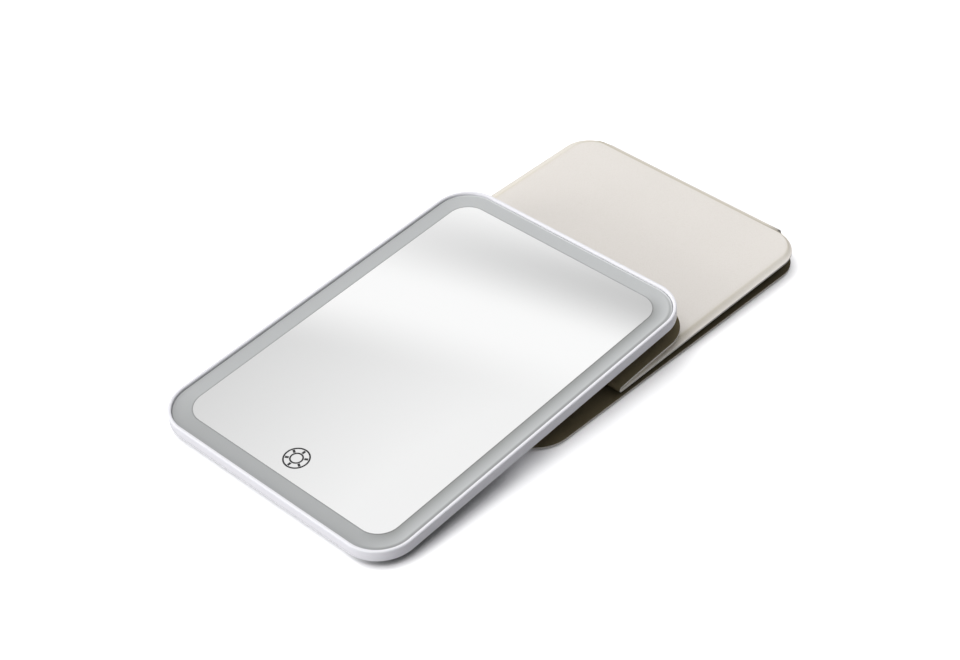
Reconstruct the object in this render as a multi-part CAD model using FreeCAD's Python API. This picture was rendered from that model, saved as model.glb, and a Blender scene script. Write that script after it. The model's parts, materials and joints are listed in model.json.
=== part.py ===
import FreeCAD, Part
import math
import os

# A lighted travel mirror lying on its folded folio stand. Millimetres, +Z up.
# The mirror has its own frame: x across, y along the glass from its near end, z out of the glass.

Vec = FreeCAD.Vector

# Mirror unit, front
mirror_length = 240.0
mirror_width = 166.8
mirror_corner = 22.0
lip_width = 2.0
lip_rise = 1.4
lip_round_share = 0.42
wall_depth = 5.2
wall_edge_round = 0.35
band_width = 10.0
field_corner = 12.5
plate_thickness = 2.6
band_groove = 0.3
shelf_width = 1.8
shelf_thickness = 1.0

# Touch symbol
symbol_from_end = 25.0
symbol_outer_diameter = 14.3
symbol_inner_diameter = 7.35
symbol_line = 0.6
symbol_tick_length = 1.7
symbol_tick_width = 1.0
symbol_tick_count = 6
symbol_tick_radius_share = 0.71
print_thickness = 0.06

# Rear cover and its housing for the battery
body_depth = 8.2
cover_wall = 1.2
cover_step = 0.5
taper_inset = 6.0
skirt_height = 1.4
pod_width = 124.0
pod_length = 92.0
pod_from_end = 10.0
pod_corner = 12.0
pod_depth = 5.9
pod_draft = 2.4
pad_thickness = 0.5
pad_margin = 3.0

# Inner tray and lights
tray_floor = 1.1
tray_wall = 2.4
rib_thickness = 1.5
rib_shares = (0.25, 0.5, 0.75)
rib_gap_width = 24.0
film_thickness = 0.3
strip_width = 3.0
strip_thickness = 0.3
led_size = 2.0
led_height = 0.7
led_pitch = 12.0
magnet_diameter = 10.0
magnet_height = 2.5
magnet_spacing = 90.0
magnet_from_end = 22.0
screw_diameter = 2.0
screw_length = 3.6
screw_head_diameter = 3.6
screw_head_height = 0.8
screw_from_edge = 17.0
boss_diameter = 5.0
boss_height = 2.0

# Electronics
sensor_size = 20.0
sensor_thickness = 0.8
ribbon_width = 6.0
ribbon_thickness = 0.2
ribbon_lap = 4.0
board_length = 44.0
board_width = 38.0
board_thickness = 1.0
post_diameter = 3.0
post_height = 1.0
port_width = 8.94
port_height = 3.26
port_length = 7.3
port_wall = 0.3
port_tongue_thickness = 0.7
port_tongue_share = 0.75
chip_height = 1.2
chip_places_shares = ((0.45, 0.3), (0.45, 0.7), (0.8, 0.5))
chip_size_share = 0.16
battery_length = 80.0
battery_width = 56.0
battery_thickness = 4.4
battery_round_share = 0.3
tape_thickness = 0.3
tape_margin = 4.0
lead_diameter = 1.0
lead_spacing = 6.0

# Folio
cover_width = 168.0
panel_corner = 23.0
skin_thickness = 0.6
lining_thickness = 0.6
panel_board_thickness = 1.0
panel_margin = 4.5
fold_margin = 1.2
plateau_round_share = 0.5
flap_length = 235.0
lower_back_length = 167.2
upper_back_length = 44.0
upper_back_past_end = 3.0
spine_inner_radius = 3.75
crease_inner_radius = 0.7
crease_gap = 2.9
crease_run = 20.4
crease_lift = 0.49
panel_magnet_from_end = 18.0

# Fits
clearance = 0.1
close_clearance = 0.05
overrun = 1.0

# Worked out from the sizes above
lip_round = lip_round_share * lip_width
field_inset = lip_width + band_width
inner_floor = -body_depth + cover_wall
tray_top = inner_floor + tray_floor
pod_far = mirror_length - pod_from_end
pod_near = pod_far - pod_length
pod_back = -body_depth - pod_depth
pod_floor = pod_back + cover_wall
skirt_inset = lip_width + clearance
tray_inset = taper_inset + cover_wall
tray_wall_inset = field_inset - tray_wall / 2
film_inset = tray_inset + clearance
film_width = tray_wall_inset - clearance - film_inset
strip_inset = film_inset + (film_width - strip_width) / 2
strip_top = tray_top + film_thickness + strip_thickness
board_bottom = pod_floor + post_height
board_top = board_bottom + board_thickness
cavity_half = pod_width / 2 - cover_wall - clearance
board_near = pod_near + pod_corner
panel_thickness = lining_thickness + panel_board_thickness + skin_thickness
fold_thickness = lining_thickness + skin_thickness
crease_outer_radius = crease_inner_radius + fold_thickness

# Side view of the folded folio: the lower back panel leans from the spine down to the crease
spine_height = panel_thickness + spine_inner_radius
lower_back_lean = math.asin((2 * spine_inner_radius - crease_gap) / lower_back_length)
crease_offset = spine_inner_radius + fold_thickness + crease_inner_radius
crease_height = (spine_height - lower_back_length * math.sin(lower_back_lean)
                 + crease_offset * math.cos(lower_back_lean))

# The mirror stands on its near foot and on the upper back panel, which settles how far it reclines
upper_back_end = mirror_length + upper_back_past_end
upper_back_start = upper_back_end - upper_back_length
upper_back_level = pod_back - pad_thickness
crease_level = upper_back_level - crease_lift - crease_outer_radius
crease_along = upper_back_start - crease_run
foot_run = crease_along - taper_inset
foot_drop = -(body_depth + crease_level)
recline = (math.asin(crease_height / math.hypot(foot_run, foot_drop))
           + math.atan2(foot_drop, foot_run))
glass_height = body_depth * math.cos(recline) - taper_inset * math.sin(recline)

# Along the table, from the mirror's near end, then from the middle of the whole part
crease_from_end = crease_along * math.cos(recline) - crease_level * math.sin(recline)
spine_from_end = (crease_from_end + lower_back_length * math.cos(lower_back_lean)
                  + crease_offset * math.sin(lower_back_lean))
near_reach = lip_round * (math.cos(recline) - 1) - (lip_rise - lip_round) * math.sin(recline)
far_reach = spine_from_end + spine_inner_radius + fold_thickness
mirror_y = -(near_reach + far_reach) / 2
crease_y = mirror_y + crease_from_end
spine_y = mirror_y + spine_from_end

parts = {}


def outline(width, near, far, near_corner, far_corner, level):
    """Closed wire of a rectangle, centred on x, with rounded near and far corners."""
    half = width / 2
    corners = ((half, near, near_corner, -90), (half, far, far_corner, 0),
               (-half, far, far_corner, 90), (-half, near, near_corner, 180))
    edges = []
    ends = []
    for x, y, radius, turn in corners:
        inward = radius if y == near else -radius
        centre = Vec(x - math.copysign(radius, x), y + inward, level)
        angles = [math.radians(turn + step) for step in (0, 45, 90)]
        arc = [centre + radius * Vec(math.cos(angle), math.sin(angle), 0) for angle in angles]
        if ends:
            edges.append(Part.makeLine(ends[-1], arc[0]))
        if radius > 0:
            edges.append(Part.Arc(*arc).toShape())
        ends += [arc[0], arc[2]]
    edges.append(Part.makeLine(ends[-1], ends[0]))
    return Part.Wire(edges)


def slab(width, near, far, near_corner, far_corner, bottom, top):
    """Flat plate with that outline."""
    face = Part.Face(outline(width, near, far, near_corner, far_corner, bottom))
    return face.extrude(Vec(0, 0, top - bottom))


def block(x0, x1, y0, y1, z0, z1):
    return Part.makeBox(x1 - x0, y1 - y0, z1 - z0, Vec(x0, y0, z0))


def disc(x, y, diameter, bottom, top):
    return Part.makeCylinder(diameter / 2, top - bottom, Vec(x, y, bottom))


def mirror_outline(inset, level):
    corner = mirror_corner - inset
    return outline(mirror_width - 2 * inset, inset, mirror_length - inset, corner, corner, level)


def mirror_slab(inset, bottom, top):
    return Part.Face(mirror_outline(inset, bottom)).extrude(Vec(0, 0, top - bottom))


def mirror_ring(outer_inset, inner_inset, bottom, top):
    hole = mirror_slab(inner_inset, bottom - overrun, top + overrun)
    return mirror_slab(outer_inset, bottom, top).cut(hole)


def field_slab(gap, bottom, top):
    """Plate of the mirrored field, drawn in by a gap."""
    inset = field_inset + gap
    corner = field_corner - gap
    return slab(mirror_width - 2 * inset, inset, mirror_length - inset, corner, corner, bottom, top)


def tapered(lower, upper):
    return Part.makeLoft([lower, upper], True, True)


def level_edges(shape, level):
    """Edges of the shape that lie at one height."""
    flat = []
    for edge in shape.Edges:
        box = edge.BoundBox
        if abs(box.ZMin - level) < close_clearance and abs(box.ZMax - level) < close_clearance:
            flat.append(edge)
    return flat


# Mirror unit

def front_frame():
    """Wall with a rounded lip, and the shelf that carries the light band."""
    wall = mirror_slab(0, -wall_depth, lip_rise)
    wall = wall.makeFillet(wall_edge_round, level_edges(wall, -wall_depth))
    wall = wall.cut(mirror_slab(lip_width, -wall_depth - overrun, lip_rise + overrun))
    wall = wall.makeFillet(lip_round, level_edges(wall, lip_rise))
    shelf = mirror_ring(lip_width, lip_width + shelf_width,
                        -plate_thickness - shelf_thickness, -plate_thickness)
    return wall.fuse(shelf).removeSplitter()


def light_diffuser():
    band = mirror_slab(lip_width + band_groove, -plate_thickness, 0)
    return band.cut(field_slab(0, -plate_thickness - overrun, overrun))


def mirror_plate():
    return field_slab(close_clearance, -plate_thickness, 0)


def touch_icon():
    outer = symbol_outer_diameter
    rings = []
    for diameter in (symbol_outer_diameter, symbol_inner_diameter):
        hole = disc(0, symbol_from_end, diameter - 2 * symbol_line, 0, print_thickness)
        rings.append(disc(0, symbol_from_end, diameter, 0, print_thickness).cut(hole))
    middle = symbol_tick_radius_share * outer / 2
    tick = block(middle - symbol_tick_length / 2, middle + symbol_tick_length / 2,
                 -symbol_tick_width / 2, symbol_tick_width / 2, 0, print_thickness)
    ticks = []
    for index in range(symbol_tick_count):
        turned = tick.copy()
        turned.rotate(Vec(0, 0, 0), Vec(0, 0, 1), 360 / symbol_tick_count * (index + 1 / 2))
        turned.translate(Vec(0, symbol_from_end, 0))
        ticks.append(turned)
    return Part.makeCompound(rings + ticks)


def screw_places():
    side = mirror_width / 2 - screw_from_edge
    along = (screw_from_edge, mirror_length / 2, mirror_length - screw_from_edge)
    return [(x, y) for x in (-side, side) for y in along]


def inner_tray():
    tray = mirror_slab(tray_inset, inner_floor, tray_top)
    wall_inner = tray_wall_inset + tray_wall
    tray = tray.fuse(mirror_ring(tray_wall_inset, wall_inner, tray_top, -plate_thickness))
    rib_end = mirror_width / 2 - tray_wall_inset - tray_wall / 2
    for share in rib_shares:
        middle = share * mirror_length
        for start, end in ((-rib_end, -rib_gap_width / 2), (rib_gap_width / 2, rib_end)):
            tray = tray.fuse(block(start, end, middle - rib_thickness / 2, middle + rib_thickness / 2,
                                   tray_top, -plate_thickness))
    for x, y in screw_places():
        tray = tray.fuse(disc(x, y, boss_diameter, tray_top, tray_top + boss_height))
        tray = tray.cut(disc(x, y, screw_diameter + 2 * close_clearance, inner_floor - overrun, 0))
    tray = tray.cut(ribbon_drop(clearance)).cut(ribbon_run(clearance)).cut(tail_drop(clearance))
    half = ribbon_width / 2 + clearance
    notch = block(*tail_span(), tail_y() - half, tail_y() + half,
                  tray_top, tray_top + film_thickness + ribbon_thickness + clearance)
    return tray.cut(notch).removeSplitter()


def reflector_sheet():
    return mirror_ring(film_inset, film_inset + film_width, tray_top, tray_top + film_thickness)


def led_strip():
    bottom = tray_top + film_thickness
    return mirror_ring(strip_inset, strip_inset + strip_width, bottom, strip_top)


def led_places():
    """Evenly spaced places along the four straight sides of the strip."""
    inset = strip_inset + strip_width / 2
    places = []
    for length, turned in ((mirror_length, False), (mirror_width, True)):
        run = length - 2 * mirror_corner
        count = int(run // led_pitch) + 1
        for index in range(count):
            along = (index - (count - 1) / 2) * led_pitch
            for side in (-1, 1):
                if turned:
                    places.append((along, mirror_length / 2 + side * (mirror_length / 2 - inset)))
                else:
                    places.append((side * (mirror_width / 2 - inset), mirror_length / 2 + along))
    return places


def leds():
    half = led_size / 2
    top = strip_top + led_height
    return Part.makeCompound([block(x - half, x + half, y - half, y + half, strip_top, top)
                              for x, y in led_places()])


def tail_y():
    return board_near + board_length / 2


def tail_span():
    """From the strip's inner edge to the middle of the main board."""
    return -mirror_width / 2 + strip_inset + strip_width, -cavity_half + board_width / 2


def tail_drop(gap):
    middle = tail_span()[1]
    return block(middle - ribbon_thickness - gap, middle + gap, tail_y() - ribbon_width / 2 - gap,
                 tail_y() + ribbon_width / 2 + gap, board_top, tray_top + ribbon_thickness)


def led_tail():
    start, end = tail_span()
    film_end = -mirror_width / 2 + film_inset + film_width
    low = tray_top + film_thickness
    half = ribbon_width / 2
    top = low + ribbon_thickness
    step_end = film_end + ribbon_thickness
    lap = block(start, step_end, tail_y() - half, tail_y() + half, low, top)
    step = block(film_end, step_end, tail_y() - half, tail_y() + half, tray_top, top)
    run = block(film_end, end, tail_y() - half, tail_y() + half, tray_top, tray_top + ribbon_thickness)
    return lap.fuse(step).fuse(run).fuse(tail_drop(0)).removeSplitter()


def touch_sensor_board():
    half = sensor_size / 2
    return block(-half, half, symbol_from_end - half, symbol_from_end + half,
                 -plate_thickness - sensor_thickness, -plate_thickness)


def ribbon_x():
    return -cavity_half + board_width - ribbon_width


def ribbon_end():
    return board_near + ribbon_lap


def ribbon_drop(gap):
    half = ribbon_width / 2
    return block(ribbon_x() - half - gap, ribbon_x() + half + gap, ribbon_end() - ribbon_thickness - gap,
                 ribbon_end() + gap, board_top, -plate_thickness)


def ribbon_run(gap):
    """Stretch of the ribbon along the glass, up to where it drops to the main board."""
    half = ribbon_width / 2 + gap
    start = symbol_from_end + sensor_size / 2 + ribbon_width
    return block(ribbon_x() - half, ribbon_x() + half, start, ribbon_end(),
                 -plate_thickness - ribbon_thickness - gap, -plate_thickness)


def touch_ribbon():
    half = ribbon_width / 2
    low = -plate_thickness - ribbon_thickness
    start = symbol_from_end + sensor_size / 2
    turn = start + ribbon_width
    lead_out = block(-half, half, start, turn, low, -plate_thickness)
    across = block(min(ribbon_x(), 0) - half, max(ribbon_x(), 0) + half, turn, turn + ribbon_width,
                   low, -plate_thickness)
    return lead_out.fuse(across).fuse(ribbon_run(0)).fuse(ribbon_drop(0)).removeSplitter()


def main_board():
    return block(-cavity_half, -cavity_half + board_width, board_near, board_near + board_length,
                 board_bottom, board_top)


def control_chips():
    half = chip_size_share * board_width / 2
    chips = []
    for across, along in chip_places_shares:
        x = -cavity_half + across * board_width
        y = board_near + along * board_length
        chips.append(block(x - half, x + half, y - half, y + half, board_top, board_top + chip_height))
    return Part.makeCompound(chips)


def port_y():
    return board_near + board_length / 2


def port_mouth():
    """The housing's side wall at the height of the port's middle."""
    height = board_top + port_height / 2 - pod_back
    return -pod_width / 2 - pod_draft * height / pod_depth


def port_box(width, height, start, end, round_size):
    middle = board_top + port_height / 2
    box = block(start, end, port_y() - width / 2, port_y() + width / 2,
                middle - height / 2, middle + height / 2)
    along = [edge for edge in box.Edges if edge.BoundBox.XLength > (end - start) / 2]
    return box.makeFillet(round_size, along)


def usb_port():
    start = port_mouth()
    end = start + port_length
    inner = port_height - 2 * port_wall
    shell = port_box(port_width, port_height, start, end, port_height / 3)
    cavity = port_box(port_width - 2 * port_wall, inner, start - overrun, end - port_wall, inner / 3)
    middle = board_top + port_height / 2
    tongue_half = port_tongue_share * port_width / 2
    thick = port_tongue_thickness / 2
    tongue = block(end - port_tongue_share * port_length, end - port_wall,
                   port_y() - tongue_half, port_y() + tongue_half, middle - thick, middle + thick)
    return shell.cut(cavity).fuse(tongue).removeSplitter()


def battery_span():
    far = pod_far - cover_wall - clearance - tape_margin
    right = cavity_half - tape_margin
    return right - battery_width, right, far - battery_length, far


def battery_tape():
    left, right, near, far = battery_span()
    return block(left + tape_margin, right - tape_margin, near + tape_margin, far - tape_margin,
                 pod_floor, pod_floor + tape_thickness)


def battery_cell():
    left, right, near, far = battery_span()
    bottom = pod_floor + tape_thickness
    cell = block(left, right, near, far, bottom, bottom + battery_thickness)
    long_edges = [edge for edge in cell.Edges if edge.BoundBox.YLength > battery_length / 2]
    return cell.makeFillet(battery_round_share * battery_thickness, long_edges)


def battery_leads():
    left, right, near, far = battery_span()
    middle = (max(near, board_near) + min(far, board_near + board_length)) / 2
    start = -cavity_half + board_width - ribbon_lap
    level = board_top + lead_diameter / 2
    leads = []
    for side in (-1, 1):
        foot = Vec(start, middle + side * lead_spacing / 2, level)
        leads.append(Part.makeCylinder(lead_diameter / 2, left - start, foot, Vec(1, 0, 0)))
    return Part.makeCompound(leads)


def tray_magnets():
    places = [(side * magnet_spacing / 2, y) for side in (-1, 1)
              for y in (magnet_from_end, mirror_length - magnet_from_end)]
    top = tray_top + magnet_height
    return Part.makeCompound([disc(x, y, magnet_diameter, tray_top, top) for x, y in places])


def pod_outline(inset, level):
    """Outline of the housing, whose walls lean out towards the mirror."""
    lean = pod_draft * (level - pod_back) / pod_depth - inset
    return outline(pod_width + 2 * lean, pod_near - lean, pod_far + lean,
                   pod_corner + lean, pod_corner + lean, level)


def countersink(x, y, gap):
    bottom = disc(x, y, screw_head_diameter + 2 * gap, -body_depth - overrun, -body_depth)
    cone = Part.makeCone(screw_head_diameter / 2 + gap, screw_diameter / 2 + gap, screw_head_height,
                         Vec(x, y, -body_depth))
    return bottom, cone


def rear_cover():
    rim = -wall_depth - clearance
    shell = tapered(mirror_outline(taper_inset, -body_depth), mirror_outline(cover_step, rim))
    shell = shell.fuse(mirror_ring(skirt_inset, skirt_inset + cover_wall, rim, rim + skirt_height))
    shell = shell.fuse(tapered(pod_outline(0, pod_back), pod_outline(0, -body_depth + cover_wall / 2)))
    shell = shell.cut(tapered(mirror_outline(tray_inset - clearance, inner_floor),
                              mirror_outline(skirt_inset + cover_wall, rim + clearance)))
    shell = shell.cut(tapered(pod_outline(cover_wall, pod_floor),
                              pod_outline(cover_wall, inner_floor + clearance)))
    for x in (-cavity_half + post_diameter, -cavity_half + board_width - post_diameter):
        for y in (board_near + post_diameter, board_near + board_length - post_diameter):
            shell = shell.fuse(disc(x, y, post_diameter, pod_floor, board_bottom))
    slot = port_box(port_width + 2 * clearance, port_height + 2 * clearance,
                    port_mouth() - overrun, port_mouth() + port_length, port_height / 3)
    shell = shell.cut(slot)
    for x, y in screw_places():
        bottom, cone = countersink(x, y, close_clearance)
        hole = disc(x, y, screw_diameter + 2 * close_clearance, -body_depth - overrun, inner_floor + overrun)
        shell = shell.cut(bottom.fuse(cone).fuse(hole))
    return shell.removeSplitter()


def rear_screws():
    screws = []
    for x, y in screw_places():
        shank = disc(x, y, screw_diameter, -body_depth, -body_depth + screw_length)
        screws.append(shank.fuse(countersink(x, y, 0)[1]).removeSplitter())
    return Part.makeCompound(screws)


def fixing_pad():
    near = upper_back_start + pad_margin
    far = pod_far - pad_margin
    return slab(pod_width - 2 * pod_corner, near, far, pad_margin, pad_margin, upper_back_level, pod_back)


# Folio panels lie lining down, from y = near to far, before they are placed

def panel_magnet_places(y):
    return [(side * magnet_spacing / 2, y) for side in (-1, 1)]


def panel(name, near, far, corners, margins, place, magnet_y=None):
    """Lining, stiff board and outer skin of one panel. The skin stands up over the board.

    Corners and margins are given for the near end, then for the far end."""
    board_low = lining_thickness
    board_high = lining_thickness + panel_board_thickness

    def layer(share, grown, bottom, top):
        side, near_in, far_in = [share * margin - grown for margin in (panel_margin, *margins)]
        near_corner, far_corner = [max(corner - side, 0) for corner in corners]
        return slab(cover_width - 2 * side, near + near_in, far - far_in, near_corner, far_corner, bottom, top)

    plateau = layer(1, skin_thickness, board_low, panel_thickness)
    plateau_round = plateau_round_share * panel_board_thickness
    plateau = plateau.makeFillet(plateau_round, level_edges(plateau, panel_thickness))
    board = layer(1, 0, board_low, board_high)
    skin = layer(0, 0, board_low, board_low + skin_thickness).fuse(plateau).cut(board).removeSplitter()
    pieces = {"skin": skin, "board": board, "lining": layer(0, 0, 0, lining_thickness)}
    if magnet_y is not None:
        magnets = Part.makeCompound([disc(x, y, magnet_diameter, board_low, board_high)
                                     for x, y in panel_magnet_places(magnet_y)])
        pieces["board"] = board.cut(magnets)
        pieces["magnets"] = magnets
    for part, shape in pieces.items():
        shape.Placement = place
        parts[name + "_" + part] = shape


def radial(centre, radius, angle):
    return centre + radius * Vec(0, math.cos(angle), math.sin(angle))


def fold_layer(turns, inner_shift, outer_shift, width):
    """Strip of sheet bent through arcs that follow on from each other, in the side view.

    Each turn is its centre, the radius of its inner face, and its first and last angle."""
    edges = []
    for shift in (inner_shift, outer_shift):
        for centre, radius, first, last in turns:
            angles = (first, (first + last) / 2, last)
            edges.append(Part.Arc(*[radial(centre, radius + shift, angle) for angle in angles]).toShape())
    count = len(turns)
    for index in (0, -1):
        inner_end = edges[:count][index].Vertexes[index].Point
        outer_end = edges[count:2 * count][index].Vertexes[index].Point
        edges.append(Part.makeLine(inner_end, outer_end))
    face = Part.Face(Part.Wire(Part.__sortEdges__(edges)))
    strip = face.extrude(Vec(width, 0, 0))
    strip.translate(Vec(-width / 2, 0, 0))
    return strip


def spine():
    centre = Vec(0, spine_y, spine_height)
    turns = [(centre, spine_inner_radius, -math.pi / 2, math.pi / 2 + lower_back_lean)]
    width = cover_width - 2 * panel_corner
    parts["spine_lining"] = fold_layer(turns, 0, lining_thickness, width)
    parts["spine_skin"] = fold_layer(turns, lining_thickness, fold_thickness, width)


def crease():
    """The fold turns about its own centre, then bends gently into the upper back panel."""
    centre = Vec(0, crease_y, crease_height)
    rise = crease_lift + crease_outer_radius
    bend = (crease_run ** 2 + rise ** 2 - crease_outer_radius ** 2) / (2 * crease_lift)
    lead = math.asin(crease_run / (bend - crease_outer_radius))
    top = math.pi / 2 + recline
    bend_centre = mirror_place().multVec(Vec(0, upper_back_start, upper_back_level - bend))
    turns = [(centre, crease_inner_radius, lower_back_lean + 3 * math.pi / 2, top + lead),
             (bend_centre, bend - fold_thickness, top + lead, top)]
    parts["crease_skin"] = fold_layer(turns, 0, skin_thickness, cover_width)
    parts["crease_lining"] = fold_layer(turns, skin_thickness, fold_thickness, cover_width)


def mirror_place():
    return FreeCAD.Placement(Vec(0, mirror_y, glass_height),
                             FreeCAD.Rotation(Vec(1, 0, 0), math.degrees(recline)))


def build_mirror():
    makers = (front_frame, light_diffuser, mirror_plate, touch_icon, inner_tray, reflector_sheet,
              led_strip, leds, led_tail, touch_sensor_board, touch_ribbon, main_board, control_chips,
              usb_port, battery_cell, battery_tape, battery_leads, tray_magnets, rear_cover,
              rear_screws, fixing_pad)
    for maker in makers:
        shape = maker()
        shape.Placement = mirror_place()
        parts[maker.__name__] = shape


def build_folio():
    over = FreeCAD.Rotation(Vec(0, 1, 0), 180)
    flap_place = FreeCAD.Placement(Vec(0, spine_y, panel_thickness), over)
    panel("flap", -flap_length, 0, (panel_corner, panel_corner), (panel_margin, fold_margin), flap_place,
          panel_magnet_from_end - flap_length)
    lean = FreeCAD.Placement(Vec(0, spine_y, spine_height),
                             FreeCAD.Rotation(Vec(1, 0, 0), math.degrees(lower_back_lean)))
    above = FreeCAD.Placement(Vec(0, 0, spine_inner_radius), FreeCAD.Rotation())
    panel("lower_back", -lower_back_length, 0, (0, panel_corner), (fold_margin, fold_margin),
          lean.multiply(above), -panel_magnet_from_end)
    upper_place = mirror_place().multiply(FreeCAD.Placement(Vec(0, 0, upper_back_level), over))
    panel("upper_back", upper_back_start, upper_back_end, (0, panel_corner), (fold_margin, panel_margin),
          upper_place)
    spine()
    crease()


build_mirror()
build_folio()
os.makedirs("parts", exist_ok=True)
for node, shape in parts.items():
    if not shape.isValid():
        print("not valid:", node)
    shape.exportStep("parts/" + node + ".step")

print("nodes", len(parts))
print("recline", round(math.degrees(recline), 3), "lean", round(math.degrees(lower_back_lean), 3))
print("spine fold at y", round(spine_y, 3), "z", round(spine_height, 3))
print("crease fold at y", round(crease_y, 3), "z", round(crease_height, 3))
print("mirror's near end at y", round(mirror_y, 3), "glass at z", round(glass_height, 3))
print("flap's middle at y", round(spine_y - flap_length / 2, 3))
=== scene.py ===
import json
import math
import bmesh
import bpy
from mathutils import Matrix, Vector


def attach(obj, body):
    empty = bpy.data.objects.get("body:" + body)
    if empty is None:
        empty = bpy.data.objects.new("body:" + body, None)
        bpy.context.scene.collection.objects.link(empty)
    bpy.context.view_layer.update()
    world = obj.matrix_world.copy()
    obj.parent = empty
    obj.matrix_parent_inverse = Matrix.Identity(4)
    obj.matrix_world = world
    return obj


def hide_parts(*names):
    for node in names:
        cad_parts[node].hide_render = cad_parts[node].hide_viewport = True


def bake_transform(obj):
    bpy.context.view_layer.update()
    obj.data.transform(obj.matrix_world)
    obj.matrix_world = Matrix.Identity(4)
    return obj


# lighted travel mirror on its folded folio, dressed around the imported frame, metres throughout
mm = 0.001
mergeDistance = 0.001 * mm
tolerance = 0.01 * mm
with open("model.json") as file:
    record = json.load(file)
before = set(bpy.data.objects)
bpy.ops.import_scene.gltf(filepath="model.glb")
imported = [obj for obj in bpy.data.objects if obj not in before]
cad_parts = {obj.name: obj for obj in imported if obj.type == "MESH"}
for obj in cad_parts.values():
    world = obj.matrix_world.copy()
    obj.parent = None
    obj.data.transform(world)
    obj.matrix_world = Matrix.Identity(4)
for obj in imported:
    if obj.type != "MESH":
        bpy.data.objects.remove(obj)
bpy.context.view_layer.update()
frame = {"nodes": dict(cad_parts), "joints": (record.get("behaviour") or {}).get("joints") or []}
cadNodes = frame["nodes"]
folds = {joint["name"]: Vector(joint["pos_m"]) for joint in frame["joints"]}
print("frame loaded:", len(cadNodes), "nodes")


# node helpers
def addNode(tree, kind, inputs=None, **settings):
    node = tree.nodes.new(kind)
    for name, value in settings.items():
        setattr(node, name, value)
    for socket, value in (inputs or {}).items():
        if isinstance(value, bpy.types.NodeSocket):
            tree.links.new(value, node.inputs[socket])
        else:
            node.inputs[socket].default_value = value
    return node


def math2(tree, operation, first, second=0.0, clamp=False):
    node = addNode(tree, "ShaderNodeMath", {0: first, 1: second}, operation=operation, use_clamp=clamp)
    return node.outputs[0]


def evenRange(tree, value, start, end, low=0.0, high=1.0, kind="LINEAR"):
    span = {"Value": value, "From Min": start, "From Max": end, "To Min": low, "To Max": high}
    return addNode(tree, "ShaderNodeMapRange", span, interpolation_type=kind).outputs[0]


def smoothRange(tree, value, start, end, low=0.0, high=1.0):
    return evenRange(tree, value, start, end, low, high, "SMOOTHSTEP")


def rampNode(tree, value, stops, smooth=True):
    node = addNode(tree, "ShaderNodeValToRGB", {"Fac": value})
    ramp = node.color_ramp
    ramp.interpolation = "EASE" if smooth else "LINEAR"
    while len(ramp.elements) < len(stops):
        ramp.elements.new(0.5)
    for element, (place, colour) in zip(ramp.elements, stops):
        element.position = place
        element.color = (*colour, 1)
    return node.outputs["Color"]


def scaleColour(tree, colour, value):
    return addNode(tree, "ShaderNodeVectorMath", {0: colour, "Scale": value}, operation="SCALE").outputs[0]


def mixColours(tree, share, first, second, blend="MIX"):  # sockets 6 and 7 of this node take colours
    node = addNode(tree, "ShaderNodeMix", {"Factor": share, 6: first, 7: second}, data_type="RGBA",
                   blend_type=blend)
    return node.outputs[2]


def noiseOf(tree, place, scale, detail=3.0, rough=0.5):
    given = {"Vector": place, "Scale": scale, "Detail": detail, "Roughness": rough}
    return addNode(tree, "ShaderNodeTexNoise", given).outputs


def swingOf(tree, noise):  # how far a noise lies from its middle
    return math2(tree, "SUBTRACT", noise, 0.5)


def toneOf(tree, swing, spread):  # a factor that varies around one
    return math2(tree, "ADD", math2(tree, "MULTIPLY", swing, spread), 1.0)


def objectPlace(tree):
    return addNode(tree, "ShaderNodeTexCoord").outputs["Object"]


def partsOf(tree, vector):
    return addNode(tree, "ShaderNodeSeparateXYZ", {0: vector}).outputs


def openGroup(name, inputs):
    kinds = {3: "NodeSocketVector", 4: "NodeSocketColor"}
    group = bpy.data.node_groups.new(name, "ShaderNodeTree")
    for title, value in inputs.items():
        kind = kinds[len(value)] if isinstance(value, tuple) else "NodeSocketFloat"
        group.interface.new_socket(title, in_out="INPUT", socket_type=kind).default_value = value
    return group, group.nodes.new("NodeGroupInput").outputs


def closeGroup(group, made):
    for title in made:
        kind = "NodeSocketColor" if title == "Colour" else "NodeSocketFloat"
        group.interface.new_socket(title, in_out="OUTPUT", socket_type=kind)
    out = group.nodes.new("NodeGroupOutput").inputs
    for title, socket in made.items():
        group.links.new(socket, out[title])
    return group


# mesh helpers
def pieceFrom(bm, name, *materials):
    mesh = bpy.data.meshes.new(name)
    bm.to_mesh(mesh)
    bm.free()
    mesh.shade_smooth()
    piece = bpy.data.objects.new(name, mesh)
    bpy.context.scene.collection.objects.link(piece)
    for material in materials:
        mesh.materials.append(material)
    return piece


def edgesOf(geom):
    return [item for item in geom if isinstance(item, bmesh.types.BMEdge)]


def vertsOf(geom):
    return [item for item in geom if isinstance(item, bmesh.types.BMVert)]


def easeOf(share):
    return share * share * (3 - 2 * share)


def wearMaterial(node, material):  # a CAD node keeps its shape and gets this finish
    cadNodes[node].data.materials.clear()
    cadNodes[node].data.materials.append(material)


def flatAxes(node):  # turn and far corners of a flat CAD node, measured along its own axes
    mesh = cadNodes[node].data
    up = max(mesh.polygons, key=lambda face: face.area * max(face.normal.z, 0)).normal.normalized()
    across = Vector((1, 0, 0))
    turn = Matrix((across, up.cross(across), up)).transposed()
    own = [turn.transposed() @ vertex.co for vertex in mesh.vertices]
    low = Vector([min(point[axis] for point in own) for axis in range(3)])
    high = Vector([max(point[axis] for point in own) for axis in range(3)])
    return turn, low, high


# camera and stage
shot = {
    "place": (0.5618, -0.635537, 0.6833),
    "forward": (-0.52345, 0.57846, -0.62561),
    "up": (-0.42446, 0.45962, 0.78013),
    "lens": 74.63,
    "sensor": 36.0,
}


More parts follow.
